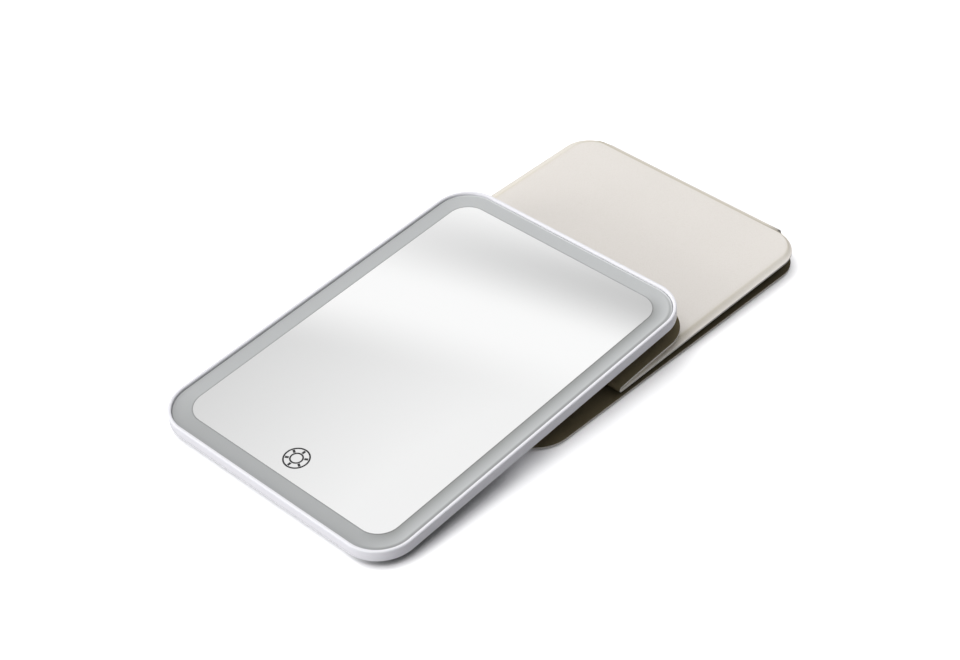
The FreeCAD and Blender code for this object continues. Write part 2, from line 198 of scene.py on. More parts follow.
def placeCamera():
    camera = bpy.data.objects.new("shotCamera", bpy.data.cameras.new("shotCamera"))
    camera.data.lens = shot["lens"]
    camera.data.sensor_width = shot["sensor"]
    forward = Vector(shot["forward"]).normalized()
    right = forward.cross(Vector(shot["up"])).normalized()
    turn = Matrix((right, right.cross(forward), -forward)).transposed()
    camera.matrix_world = Matrix.Translation(shot["place"]) @ turn.to_4x4()
    bpy.context.scene.collection.objects.link(camera)
    bpy.context.scene.camera = camera


studio = {
    "fill": (0.85, 0.85, 0.865),  # soft light from the left, above and the back
    "shade": (0.03, 0.03, 0.036),  # low on the right there is no reflector
    "shadeWay": (0.87, 0.0, -0.5),
    "shadeRange": (-0.2, 0.5),
    "keyWay": (-0.27, -0.1, 0.96),  # broad light from above
    "keyAngle": 40.0,
    "keyStrength": 0.8,
    "frontWay": (-0.3, -0.95, 0.12),  # low light on the near wall
    "frontAngle": 40.0,
    "frontStrength": 1.9,
    "sweepAxis": (-0.184, -0.276, 0.943),  # the soft boxes lie in bands across this way
    "sweepSide": (0.305, -0.347, -0.887),
    "sideRange": (-0.9675, -0.9375),
    "gapPlace": 0.6197,  # dark gap between two soft boxes
    "gapHalf": 0.021,
    "gapDepth": (0.5, 0.17),
    "endRange": (0.649, 0.672),  # lower end of the near soft box
    "endDepth": (0.07, 0.3),
    "boxLevel": 0.985,
    "boxFade": (0.1, 0.75),  # towards the right the soft boxes fade
    "boxFaded": 0.3,
}


def dotWay(tree, way, axis):
    return addNode(tree, "ShaderNodeVectorMath", {0: way, 1: axis}, operation="DOT_PRODUCT").outputs["Value"]


def softBoxes(tree, way):  # what the glass sees: two soft boxes with a dark gap, fading at their lower end
    along = dotWay(tree, way, studio["sweepAxis"])
    aside = evenRange(tree, dotWay(tree, way, studio["sweepSide"]), *studio["sideRange"])
    place, half = studio["gapPlace"], studio["gapHalf"]
    gap = math2(tree, "MULTIPLY", smoothRange(tree, along, place - half, place),
                smoothRange(tree, along, place, place + half, 1.0, 0.0))
    end = smoothRange(tree, along, *studio["endRange"])
    level = studio["boxLevel"]
    for share, depth in ((gap, studio["gapDepth"]), (end, studio["endDepth"])):
        amount = evenRange(tree, aside, 0.0, 1.0, *depth)
        level = math2(tree, "SUBTRACT", level, math2(tree, "MULTIPLY", share, amount))
    fade = smoothRange(tree, dotWay(tree, way, (1, 0, 0)), *studio["boxFade"], 1.0, studio["boxFaded"])
    return math2(tree, "MULTIPLY", level, fade)


def buildWorld():
    world = bpy.data.worlds.new("studioWorld")
    bpy.context.scene.world = world
    world.use_nodes = True
    tree = world.node_tree
    tree.nodes.clear()
    way = addNode(tree, "ShaderNodeTexCoord").outputs["Generated"]
    shaded = smoothRange(tree, dotWay(tree, way, studio["shadeWay"]), *studio["shadeRange"])
    fill = mixColours(tree, shaded, (*studio["fill"], 1), (*studio["shade"], 1))
    path = addNode(tree, "ShaderNodeLightPath").outputs
    shown = mixColours(tree, path["Is Glossy Ray"], (1, 1, 1, 1), softBoxes(tree, way))
    light = addNode(tree, "ShaderNodeBackground", {"Color": fill})
    backdrop = addNode(tree, "ShaderNodeBackground", {"Color": shown})
    seen = math2(tree, "MAXIMUM", path["Is Camera Ray"], path["Is Transmission Ray"])
    pick = math2(tree, "MAXIMUM", seen, path["Is Glossy Ray"])
    both = addNode(tree, "ShaderNodeMixShader", {0: pick, 1: light.outputs[0], 2: backdrop.outputs[0]})
    addNode(tree, "ShaderNodeOutputWorld", {"Surface": both.outputs[0]})


floor = {
    "seen": (1.43, 1.43, 1.43),  # printed white, so only the deeper shadows stay
    "colour": (0.55, 0.55, 0.56),  # what it throws back at the part
    "radius": 2.2,
    "solid": 0.9,  # beyond this the floor fades into the white
    "drop": 0.3 * mm,
    "sides": 96,
    "contactReach": 14.0 * mm,  # painted contact shadow: close along the mirror's right wall, near the front, the paper is darker where it is hidden
    "contactRange": (0.3, 0.72),
    "contactTone": 0.1,
    "contactAside": (55.0 * mm, 82.0 * mm),
    "contactAlong": (-90.0 * mm, -62.0 * mm),
    "contactSamples": 4,
}


def buildFloor():
    material = bpy.data.materials.new("floorWhite")
    material.use_nodes = True
    tree = material.node_tree
    tree.nodes.clear()
    place = objectPlace(tree)
    radius = addNode(tree, "ShaderNodeVectorMath", {0: place}, operation="LENGTH").outputs["Value"]
    fade = evenRange(tree, radius, floor["solid"], floor["radius"])
    camera = addNode(tree, "ShaderNodeLightPath").outputs["Is Camera Ray"]
    # painted contact shadow: the paper the camera sees is darkened where ambient occlusion finds it hidden,
    # only beside the mirror's right wall near the front
    hidden = addNode(tree, "ShaderNodeAmbientOcclusion", {"Distance": floor["contactReach"]},
                     samples=floor["contactSamples"]).outputs["AO"]
    depth = smoothRange(tree, hidden, *floor["contactRange"], 1.0 - floor["contactTone"], 0.0)
    aside, along = partsOf(tree, place)[:2]
    beside = math2(tree, "MULTIPLY", smoothRange(tree, aside, *floor["contactAside"]),
                   smoothRange(tree, along, *floor["contactAlong"], 1.0, 0.0))
    contactShadow = math2(tree, "SUBTRACT", 1.0, math2(tree, "MULTIPLY", depth, beside))
    paper = mixColours(tree, camera, (*floor["colour"], 1), scaleColour(tree, floor["seen"], contactShadow))
    lit = addNode(tree, "ShaderNodeBsdfDiffuse", {"Color": paper})
    clear = addNode(tree, "ShaderNodeBsdfTransparent")
    faded = addNode(tree, "ShaderNodeMixShader", {0: fade, 1: lit.outputs[0], 2: clear.outputs[0]})
    addNode(tree, "ShaderNodeOutputMaterial", {"Surface": faded.outputs[0]})
    bm = bmesh.new()
    bmesh.ops.create_circle(bm, cap_ends=True, segments=floor["sides"], radius=floor["radius"])
    bmesh.ops.translate(bm, verts=bm.verts, vec=(0, 0, -floor["drop"]))
    pieceFrom(bm, "floor", material)


def buildLamps():
    for name in ("key", "front"):
        light = bpy.data.lights.new(name + "Lamp", "SUN")
        light.angle = math.radians(studio[name + "Angle"])
        light.energy = studio[name + "Strength"]
        lamp = bpy.data.objects.new(name + "Lamp", light)
        lamp.matrix_world = Vector(studio[name + "Way"]).to_track_quat("Z", "Y").to_matrix().to_4x4()
        lamp.visible_glossy = False
        bpy.context.scene.collection.objects.link(lamp)


bpy.context.scene.view_settings.view_transform = "Standard"
placeCamera()
buildWorld()
buildFloor()
buildLamps()
print("camera and stage ready")


# shared surface effects
driftShare = 0.5  # how much of the moulded surface's drift goes into its roughness


def buildMouldGroup():
    group, given = openGroup("mouldedSurface", {
        "Colour": (0.8, 0.8, 0.8, 1), "Tone Spread": 0.03, "Roughness": 0.4, "Rough Spread": 0.06,
        "Drift Scale": 25.0, "Grain Scale": 2500.0})
    place = objectPlace(group)
    swing = swingOf(group, noiseOf(group, place, given["Drift Scale"])[0])
    grain = noiseOf(group, place, given["Grain Scale"], 2.0)[0]
    colour = scaleColour(group, given["Colour"], toneOf(group, swing, given["Tone Spread"]))
    both = math2(group, "ADD", math2(group, "MULTIPLY", swing, driftShare), swingOf(group, grain))
    rough = math2(group, "MULTIPLY", both, given["Rough Spread"])
    rough = math2(group, "ADD", given["Roughness"], rough, True)
    return closeGroup(group, {"Colour": colour, "Roughness": rough, "Height": grain})


leatherGrain = {
    "warpScale": 700.0,  # the pebbles' outlines wander
    "warpReach": 0.6 * mm,
    "creaseWidth": 0.22,
    "creaseDull": 0.15,
    "fineScale": 3200.0,
    "fineShare": 0.4,
}


def buildLeatherGroup():
    grain = leatherGrain
    group, given = openGroup("leatherGrain", {
        "Colour": (0.7, 0.68, 0.63, 1), "Crease Colour": (0.6, 0.57, 0.5, 1), "Pebble Scale": 1300.0,
        "Drift Scale": 18.0, "Tone Spread": 0.05, "Roughness": 0.5})
    place = objectPlace(group)
    warp = noiseOf(group, place, grain["warpScale"], 2.0)["Color"]
    reach = (grain["warpReach"],) * 3
    shift = addNode(group, "ShaderNodeVectorMath", {0: warp, 1: reach}, operation="MULTIPLY").outputs[0]
    moved = addNode(group, "ShaderNodeVectorMath", {0: place, 1: shift}, operation="ADD").outputs[0]
    pebbles = {"Vector": moved, "Scale": given["Pebble Scale"]}
    edge = addNode(group, "ShaderNodeTexVoronoi", pebbles, feature="DISTANCE_TO_EDGE").outputs["Distance"]
    crease = rampNode(group, edge, [(0.0, (0,) * 3), (grain["creaseWidth"], (1,) * 3)])
    swing = swingOf(group, noiseOf(group, place, given["Drift Scale"], 4.0)[0])
    mixed = mixColours(group, crease, given["Crease Colour"], given["Colour"])
    colour = scaleColour(group, mixed, toneOf(group, swing, given["Tone Spread"]))
    dull = math2(group, "MULTIPLY", math2(group, "SUBTRACT", 1.0, crease), grain["creaseDull"])
    rough = math2(group, "ADD", given["Roughness"], dull, True)
    fine = noiseOf(group, place, grain["fineScale"], 2.0)[0]
    height = math2(group, "ADD", crease, math2(group, "MULTIPLY", fine, grain["fineShare"]))
    return closeGroup(group, {"Colour": colour, "Roughness": rough, "Height": height})


napGrain = {
    "lean": (0, 0, 0.5),
    "stretch": (1.0, 0.35, 1.0),
    "fibreRough": 0.65,
    "fibreShare": 0.6,
    "brushScale": 40.0,
    "brushShare": 0.4,
    "roughSpread": 0.1,
}


def buildNapGroup():
    grain = napGrain
    group, given = openGroup("brushedNap", {
        "Colour": (0.17, 0.155, 0.115, 1), "Tone Spread": 0.35, "Fibre Scale": 2600.0, "Roughness": 0.9})
    place = objectPlace(group)
    lean = addNode(group, "ShaderNodeMapping", {"Vector": place, "Rotation": grain["lean"],
                                                "Scale": grain["stretch"]}).outputs[0]
    fibre = noiseOf(group, lean, given["Fibre Scale"], rough=grain["fibreRough"])[0]
    brushed = noiseOf(group, place, grain["brushScale"])[0]
    both = math2(group, "ADD", math2(group, "MULTIPLY", fibre, grain["fibreShare"]),
                 math2(group, "MULTIPLY", brushed, grain["brushShare"]))
    swing = swingOf(group, both)
    colour = scaleColour(group, given["Colour"], toneOf(group, swing, given["Tone Spread"]))
    rough = math2(group, "MULTIPLY", swing, grain["roughSpread"])
    rough = math2(group, "ADD", given["Roughness"], rough, True)
    return closeGroup(group, {"Colour": colour, "Roughness": rough, "Height": fibre})


def buildHairlineGroup():
    group, given = openGroup("hairlines", {
        "Turn": (0, 0, 0), "Stretch": (30.0, 2600.0, 30.0), "Level": 0.05, "Spread": 0.03})
    lines = addNode(group, "ShaderNodeMapping", {"Vector": objectPlace(group), "Rotation": given["Turn"],
                                                 "Scale": given["Stretch"]}).outputs[0]
    streak = noiseOf(group, lines, 1.0)[0]
    rough = math2(group, "MULTIPLY", swingOf(group, streak), given["Spread"])
    rough = math2(group, "ADD", given["Level"], rough, True)
    return closeGroup(group, {"Roughness": rough, "Height": streak})


mouldGroup = buildMouldGroup()
leatherGroup = buildLeatherGroup()
napGroup = buildNapGroup()
hairlineGroup = buildHairlineGroup()
print("surface groups ready")


def shaderOf(name, plain=None):
    material = bpy.data.materials.new(name)
    material.use_nodes = True
    tree = material.node_tree
    shader = tree.nodes["Principled BSDF"]
    for socket, value in (plain or {}).items():
        shader.inputs[socket].default_value = value
    return material, tree, shader


def useGroup(tree, group, values):
    return addNode(tree, "ShaderNodeGroup", values, node_tree=group).outputs


def feedShader(tree, shader, look, made, colour=None):  # with no colour the shader's own socket holds it
    bump = addNode(tree, "ShaderNodeBump", {"Height": made["Height"], "Distance": look["depth"],
                                            "Strength": look["bump"]})
    tree.links.new(bump.outputs[0], shader.inputs["Normal"])
    tree.links.new(made["Roughness"], shader.inputs["Roughness"])
    if colour is not None:
        tree.links.new(colour, shader.inputs["Base Color"])


plainMould = {  # what a look leaves unsaid
    "tone": 0.04,
    "roughSpread": 0.08,
    "drift": 25.0,
    "grain": 2500.0,
    "depth": 0.02 * mm,
    "bump": 0.5,
}


def mouldInto(tree, shader, look, colour):
    look = {**plainMould, **look}
    made = useGroup(tree, mouldGroup, {
        "Colour": colour, "Tone Spread": look["tone"], "Roughness": look["rough"],
        "Rough Spread": look["roughSpread"], "Drift Scale": look["drift"], "Grain Scale": look["grain"]})
    feedShader(tree, shader, look, made, made["Colour"])


def mouldedMaterial(name, look):  # plastics, films, boards and plated parts differ by their values only
    material, tree, shader = shaderOf(name, look.get("plain"))
    mouldInto(tree, shader, look, (*look["colour"], 1))
    return material


# mirror unit: rim, light band, glass and symbol
turn, plateLow, plateHigh = flatAxes("mirror_plate")
glassMiddle = turn @ Vector(((plateLow.x + plateHigh.x) / 2, (plateLow.y + plateHigh.y) / 2, plateHigh.z))
glassPlace = Matrix.Translation(glassMiddle) @ turn.to_4x4()
bandLow, bandHigh = flatAxes("light_diffuser")[1:]
mirror = {
    "lip": 2.0 * mm,
    "lipRise": 1.4 * mm,
    "lipRound": 0.8 * mm,
    "lipSteps": 8,
    "wallDepth": 5.2 * mm,
    "wallRound": 0.35 * mm,
    "wallSteps": 4,
    "groove": 0.3 * mm,  # between the lip and the band
    "corner": 22.0 * mm,
    "cornerSteps": 24,
    "fieldCorner": 12.45 * mm,
    "glassThick": 2.6 * mm,
    "shelf": 1.8 * mm,
    "shelfThick": 1.0 * mm,
    "bandBevel": 0.15 * mm,
    "rimSharp": 40.0,
    "bandSharp": 30.0,
}
mirror["width"] = bandHigh.x - bandLow.x + 2 * (mirror["lip"] + mirror["groove"])
mirror["length"] = bandHigh.y - bandLow.y + 2 * (mirror["lip"] + mirror["groove"])
mirror["field"] = (mirror["width"] - (plateHigh.x - plateLow.x)) / 2


def arcPoints(middle, radius, first, last, steps):
    angles = [math.radians(first + (last - first) * step / steps) for step in range(steps + 1)]
    return [(middle[0] + radius * math.cos(angle), middle[1] + radius * math.sin(angle)) for angle in angles]


def sweepRing(section):  # a closed section, as inset and height, carried round the mirror's rounded outline
    bm = bmesh.new()
    halfWide = mirror["width"] / 2
    straight = mirror["length"] / 2 - mirror["corner"]
    start = [bm.verts.new((halfWide - inset, -straight, height)) for inset, height in section]
    edges = [bm.edges.new((start[i - 1], start[i])) for i in range(len(start))]
    sides = (mirror["length"], mirror["width"], mirror["length"], mirror["width"])
    ways = (Vector((0, 1, 0)), Vector((-1, 0, 0)), Vector((0, -1, 0)), Vector((1, 0, 0)))
    sign = ((1, 1), (-1, 1), (-1, -1), (1, -1))
    for side, way, (signX, signY) in zip(sides, ways, sign):
        grown = bmesh.ops.extrude_edge_only(bm, edges=edges)["geom"]
        verts = vertsOf(grown)
        bmesh.ops.translate(bm, verts=verts, vec=way * (side - 2 * mirror["corner"]))
        centre = (signX * (halfWide - mirror["corner"]), signY * straight, 0)
        spun = bmesh.ops.spin(bm, geom=verts + edgesOf(grown), cent=centre, axis=(0, 0, 1), angle=math.pi / 2,
                              steps=mirror["cornerSteps"], use_duplicate=False)["geom_last"]
        edges = edgesOf(spun)
    bmesh.ops.remove_doubles(bm, verts=bm.verts, dist=mergeDistance)
    bmesh.ops.recalc_face_normals(bm, faces=bm.faces)
    return bm


def edgeSense(point):  # how far a point lies inside the mirror's outline, and which way out is
    reach = Vector((abs(point.x) - (mirror["width"] / 2 - mirror["corner"]),
                    abs(point.y) - (mirror["length"] / 2 - mirror["corner"])))
    beyond = Vector((max(reach.x, 0), max(reach.y, 0)))
    out = beyond.normalized()
    inset = mirror["corner"] - beyond.length
    return inset, Vector((math.copysign(out.x, point.x), math.copysign(out.y, point.y)))


def roundField(bm):  # the field's corners have a radius of their own
    radius = mirror["fieldCorner"]
    centre = Vector((mirror["width"] / 2, mirror["length"] / 2)) - Vector((1, 1)) * (mirror["field"] + radius)
    for vert in bm.verts:
        inset, out = edgeSense(vert.co)
        if inset > mirror["field"] - tolerance:
            vert.co.x = math.copysign(centre.x, vert.co.x) + radius * out.x
            vert.co.y = math.copysign(centre.y, vert.co.y) + radius * out.y


def setFront(bm, place, name, material, sharp, node):  # a piece of the mirror's front goes to its place
    bmesh.ops.transform(bm, matrix=place, verts=bm.verts)
    piece = pieceFrom(bm, name, material)
    piece.data.set_sharp_from_angle(angle=math.radians(sharp))
    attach(piece, "mirror_unit")
    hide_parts(node)


rimLook = {
    "colour": (0.825, 0.82, 0.852),
    "rough": 0.32,
    "tone": 0.02,
    "grain": 3000.0,
    "depth": 0.012 * mm,
    "plain": {"Specular IOR Level": 0.5, "Coat Weight": 0.15, "Coat Roughness": 0.25},
}


def buildRim():
    lip, lipRound, glassLow = mirror["lip"], mirror["lipRound"], -mirror["glassThick"]
    wallRound, wallLow = mirror["wallRound"], -mirror["wallDepth"]
    topArc = mirror["lipRise"] - lipRound
    shelfEnd = lip + mirror["shelf"]
    shelfLow = glassLow - mirror["shelfThick"]
    section = arcPoints((wallRound, wallLow + wallRound), wallRound, 270, 180, mirror["wallSteps"])
    section += arcPoints((lipRound, topArc), lipRound, 180, 90, mirror["lipSteps"])
    section += arcPoints((lip - lipRound, topArc), lipRound, 90, 0, mirror["lipSteps"])
    section += [(lip, glassLow), (shelfEnd, glassLow), (shelfEnd, shelfLow), (lip, shelfLow), (lip, wallLow)]
    satin = mouldedMaterial("satinWhite", rimLook)
    setFront(sweepRing(section), glassPlace, "satin_rim", satin, mirror["rimSharp"], "front_frame")


bandLook = {
    "colour": (0.442, 0.453, 0.451),
    "dark": (0.295, 0.302, 0.294),  # painted shade: where the channel under the frosted glass would lie in shade; pale is painted light
    "pale": (0.545, 0.558, 0.554),
    "stops": (0.05, 0.5, 0.95),
    "nearTone": 0.9,  # painted shade and light: darker at the near end than at the far one, lighter on the left
    "farTone": 1.1,
    "leftTone": 1.05,
    "line": 0.62,  # painted shade: a thin dark line along the field
    "fieldLine": 0.1,
    "rimShade": 0.55,  # painted shade along the right lip
    "rimLine": (0.1, 0.25),
    "edgeGleam": 1.34,  # painted highlight: the far edge is lightened as if it caught light off the lip
    "edgeRun": (0.06, 0.13),
    "rough": 0.5,
    "roughSpread": 0.12,
    "tone": 0.05,
    "drift": 60.0,
    "grain": 5000.0,
    "depth": 0.01 * mm,
    "plain": {"Specular IOR Level": 0.4},
}


def frostedMaterial():
    look = bandLook
    # painted light and shade on the band: on the right side dark by the field and pale at the outer edge,
    # darker at the near end, lighter at the far end and on the left, a thin dark line along the field, a
    # shaded strip by the right lip and a painted highlight on the far edge
    material, tree, shader = shaderOf("frostedGlass", look["plain"])
    share = partsOf(tree, addNode(tree, "ShaderNodeUVMap", uv_map="across").outputs[0])[0]
    side, end = partsOf(tree, addNode(tree, "ShaderNodeUVMap", uv_map="facing").outputs[0])[:2]
    right = math2(tree, "MAXIMUM", side, 0.0)
    left = math2(tree, "MAXIMUM", math2(tree, "MULTIPLY", side, -1.0), 0.0)
    far = math2(tree, "MAXIMUM", end, 0.0)
    lit = math2(tree, "MULTIPLY", math2(tree, "SUBTRACT", 0.5, share), right)
    lit = math2(tree, "ADD", lit, 0.5, True)
    shade = rampNode(tree, lit, list(zip(look["stops"], (look["dark"], look["colour"], look["pale"]))), False)
    tone = evenRange(tree, end, -1.0, 1.0, look["nearTone"], look["farTone"])
    tone = math2(tree, "ADD", tone, math2(tree, "MULTIPLY", left, look["leftTone"] - 1.0))
    inner = smoothRange(tree, share, 1.0 - look["fieldLine"], 1.0, 1.0, look["line"])
    shadow = smoothRange(tree, share, *look["rimLine"], 1.0 - look["rimShade"], 0.0)
    shadow = math2(tree, "MULTIPLY", shadow, right)
    gleam = smoothRange(tree, share, *look["edgeRun"], look["edgeGleam"] - 1.0, 0.0)
    gleam = math2(tree, "MULTIPLY", gleam, far)
    outer = math2(tree, "ADD", math2(tree, "SUBTRACT", 1.0, shadow), gleam)
    level = math2(tree, "MULTIPLY", tone, math2(tree, "MULTIPLY", inner, outer))
    mouldInto(tree, shader, look, scaleColour(tree, shade, level))
    return material


def buildBand():
    outer = mirror["lip"] + mirror["groove"]
    bevel, field, low = mirror["bandBevel"], mirror["field"], -mirror["glassThick"]
    bm = sweepRing([(outer, low), (outer, -bevel), (outer + bevel, 0), (field, 0), (field, low)])
    # UV maps read by the band's painted shading: share across the band and the way out
    across = bm.loops.layers.uv.new("across")
    facing = bm.loops.layers.uv.new("facing")
    for face in bm.faces:
        for loop in face.loops:
            inset, out = edgeSense(loop.vert.co)
            loop[across].uv = ((inset - outer) / (field - outer), 0)
            loop[facing].uv = out
    roundField(bm)
    setFront(bm, glassPlace, "frosted_light_band", frostedMaterial(), mirror["bandSharp"], "light_diffuser")


silverLook = {
    "plain": {"Metallic": 1.0, "Base Color": (0.97, 0.972, 0.972, 1)},
    "turn": -42.0,  # hairlines in the silver
    "stretch": (40.0, 1500.0, 40.0),
    "rough": 0.035,
    "roughSpread": 0.03,
    "depth": 0.0004 * mm,
    "bump": 0.5,
}


def silverMaterial():
    look = silverLook
    material, tree, shader = shaderOf("silveredGlass", look["plain"])
    lines = useGroup(tree, hairlineGroup, {
        "Turn": (0, 0, math.radians(look["turn"])), "Stretch": look["stretch"], "Level": look["rough"],
        "Spread": look["roughSpread"]})
    feedShader(tree, shader, look, lines)
    return material


symbolLook = {"colour": (0.012, 0.012, 0.014), "rough": 0.5, "grain": 6000.0, "depth": 0.003 * mm}
symbol = {
    "ringShare": (1.0, 0.514),  # of the outer radius
    "ringSteps": 72,
    "line": 0.86 * mm,
    "lineOut": 0.1 * mm,  # printed this far past the drawn outline
    "tickShare": 0.71,
    "tick": (2.0 * mm, 1.3 * mm),
    "ticks": 6,
    "sharp": 40.0,
}


def buildSymbol():
    axes, low, high = flatAxes("touch_icon")
    radius = (high.x - low.x) / 2
    thick = high.z - low.z
    bm = bmesh.new()
    for share in symbol["ringShare"]:
        outer = radius * share + symbol["lineOut"]
        inner = outer - symbol["line"]
        corners = ((inner, 0), (outer, 0), (outer, thick), (inner, thick))
        verts = [bm.verts.new((x, 0, z)) for x, z in corners]
        edges = [bm.edges.new((verts[i - 1], verts[i])) for i in range(len(verts))]
        bmesh.ops.spin(bm, geom=verts + edges, cent=(0, 0, 0), axis=(0, 0, 1), angle=2 * math.pi,
                       steps=symbol["ringSteps"], use_merge=True, use_duplicate=False)
    for index in range(symbol["ticks"]):
        turned = Matrix.Rotation(2 * math.pi * (index + 0.5) / symbol["ticks"], 4, "Z")
        place = turned @ Matrix.Translation((radius * symbol["tickShare"], 0, thick / 2))
        bmesh.ops.create_cube(bm, size=1, matrix=place @ Matrix.Diagonal((*symbol["tick"], thick, 1)))
    bmesh.ops.recalc_face_normals(bm, faces=bm.faces)
    middle = axes @ Vector(((low.x + high.x) / 2, (low.y + high.y) / 2, low.z))
    ink = mouldedMaterial("symbolInk", symbolLook)
    place = Matrix.Translation(middle) @ axes.to_4x4()
    setFront(bm, place, "touch_symbol", ink, symbol["sharp"], "touch_icon")


buildRim()
buildBand()
buildSymbol()
wearMaterial("mirror_plate", silverMaterial())
print("mirror front ready")


# back of the mirror and what lies inside
circuitLook = {"colour": (0.03, 0.16, 0.06), "rough": 0.4}
flatCableLook = {"colour": (0.55, 0.3, 0.08), "rough": 0.3}
magnetLook = {"colour": (0.6, 0.6, 0.62), "rough": 0.3, "plain": {"Metallic": 1.0}}
panelBoardLook = {"colour": (0.42, 0.38, 0.31), "rough": 0.85}
backLooks = {
    "rear_cover": {"colour": (0.84, 0.84, 0.87), "rough": 0.45, "tone": 0.03, "grain": 1800.0,
                   "depth": 0.03 * mm},
    "inner_tray": {"colour": (0.78, 0.78, 0.78), "rough": 0.5},
    "reflector_sheet": {"colour": (0.9, 0.9, 0.9), "rough": 0.6},
    "led_strip": {"colour": (0.85, 0.84, 0.8), "rough": 0.4},
    "leds": {"colour": (0.88, 0.8, 0.45), "rough": 0.35},
    "led_tail": flatCableLook,
    "touch_sensor_board": circuitLook,
    "touch_ribbon": flatCableLook,
    "main_board": circuitLook,
    "control_chips": {"colour": (0.03, 0.03, 0.032), "rough": 0.55},
    "usb_port": {"colour": (0.62, 0.62, 0.63), "rough": 0.28, "plain": {"Metallic": 1.0}},
    "battery_cell": {"colour": (0.66, 0.66, 0.68), "rough": 0.35, "plain": {"Metallic": 0.8}},
    "battery_tape": {"colour": (0.1, 0.1, 0.1), "rough": 0.9, "grain": 900.0, "depth": 0.1 * mm},
    "battery_leads": {"colour": (0.5, 0.03, 0.03), "rough": 0.5},
    "tray_magnets": magnetLook,
    "fixing_pad": {"colour": (0.06, 0.06, 0.06), "rough": 0.95, "grain": 900.0, "depth": 0.1 * mm},
    "flap_board": panelBoardLook,
    "flap_magnets": magnetLook,
    "lower_back_board": panelBoardLook,
    "lower_back_magnets": magnetLook,
    "upper_back_board": panelBoardLook,
    "rear_screws": {"colour": (0.5, 0.5, 0.52), "rough": 0.35, "plain": {"Metallic": 1.0}},
}
for node, look in backLooks.items():
    wearMaterial(node, mouldedMaterial(node + "Finish", look))
print("back and inside ready")


# folio: beige imitation leather outside, dark brushed lining inside, a board in each panel
skinLook = {
    "colour": (0.801, 0.765, 0.717),
    "crease": (0.752, 0.713, 0.658),
    "paintedShade": (0.78, 0.755, 0.65),  # painted shade: a darker, warmer tint on the pressed margins, beside the folds and at the spine loop's ends
    "pebble": 1500.0,
    "rough": 0.5,
    "depth": 0.03 * mm,
    "bump": 0.5,
    "plain": {"Specular IOR Level": 0.4},
}
liningLook = {
    "colour": (0.115, 0.094, 0.051),
    "rough": 0.92,
    "depth": 0.12 * mm,
    "bump": 0.6,
    "plain": {"Specular IOR Level": 0.2, "Sheen Weight": 0.03, "Sheen Roughness": 0.5},
}
edgeLook = {"colour": (0.5, 0.49, 0.44), "rough": 0.7, "tone": 0.12, "grain": 2200.0, "depth": 0.04 * mm}


def leatherMaterial():
    look = skinLook
    material, tree, shader = shaderOf("beigeLeather", look["plain"])
    made = useGroup(tree, leatherGroup, {
        "Colour": (*look["colour"], 1), "Crease Colour": (*look["crease"], 1), "Pebble Scale": look["pebble"],
        "Roughness": look["rough"]})
    # painted shade: a per-vertex weight darkens and warms the pressed margins, the fold ends and the spine
    # loop's ends
    paintedShade = addNode(tree, "ShaderNodeAttribute", attribute_name="paintedShade").outputs["Fac"]
    tinted = mixColours(tree, paintedShade, made["Colour"], (*look["paintedShade"], 1), "MULTIPLY")
    feedShader(tree, shader, look, made, tinted)
    return material


def suedeMaterial():
    look = liningLook
    material, tree, shader = shaderOf("oliveLining", look["plain"])
    made = useGroup(tree, napGroup, {"Colour": (*look["colour"], 1), "Roughness": look["rough"]})
    feedShader(tree, shader, look, made, made["Colour"])
    return material


leather = leatherMaterial()
suede = suedeMaterial()
cutEdge = mouldedMaterial("cutEdge", edgeLook)
folio = {
    "sheet": 0.6 * mm,
    "boardThick": 1.0 * mm,
    "margin": 4.5 * mm,
    "foldMargin": 1.2 * mm,
    "corner": 23.0 * mm,
    "cornerSteps": 18,
    "spineCorner": (18.5 * mm, 21.2 * mm),  # left and right corners at the spine, which run on round it
    "waist": (2.0 * mm, 0.4 * mm),  # for this long
    "loopNarrow": (2.0 * mm, 0.2 * mm),  # how far the loop's middle draws in
    "swell": 0.35 * mm,  # the skin stands proud of the lining round the spine
    "swellRun": 0.16,
    "edgeDrop": 0.05 * mm,  # the sheets' rims are pressed down a little
    "edgeRun": 0.3 * mm,
    "foldLead": 0.2 * mm,  # a fold strip starts flat for this long
    "foldSteps": 16,  # across a fold strip
    "spineSteps": 36,
    "creaseSteps": (20, 12),  # round the tight turn and along the easy one
    "skew": 3.3 * mm,  # the far fold isn't quite square: its left end lies further out
    "slip": 0.6 * mm,  # and the far end lies a little to the right
    "sideShade": 0.24,  # the painted shade on the margins is weaker along the sides than at the folds
}
flapLow, flapHigh = flatAxes("flap_lining")[1:]
folio["width"] = flapHigh.x - flapLow.x
# how the skin climbs onto the board: shares of the margin, of the board's thickness and of the painted shade
# on the pressed margin
shoulder = [(0.12, 0.0, 0.2), (0.25, 0.06, 0.4), (0.4, 0.2, 0.5), (0.55, 0.43, 0.6), (0.7, 0.68, 0.8),
            (0.84, 0.87, 1.0), (0.96, 0.97, 0.7), (1.15, 1.0, 0.15), (1.6, 1.0, 0.0)]
# near and far end: whether it is rounded, and whether a fold strip goes on there
panels = {
    "flap": {"body": "front_flap", "skinUp": False, "rounded": (True, True), "folds": (False, True)},
    "lower_back": {"body": "lower_back", "skinUp": True, "rounded": (False, True), "folds": (True, True)},
    "upper_back": {"body": "mirror_unit", "skinUp": False, "rounded": (False, True), "folds": (True, False)},
}


def settle(bm):  # the fold at the far end runs slightly askew, as a soft fold does
    start, end = folds["crease_fold"].y, folds["spine_fold"].y
    for vert in bm.verts:
        ease = easeOf(max(0, min(1, (vert.co.y - start) / (end - start))))
        vert.co.y -= folio["skew"] * ease * vert.co.x / folio["width"]
        vert.co.x += folio["slip"] * ease


def cornerOf(fold, right):
    return folio["spineCorner"][right] if fold else folio["corner"]


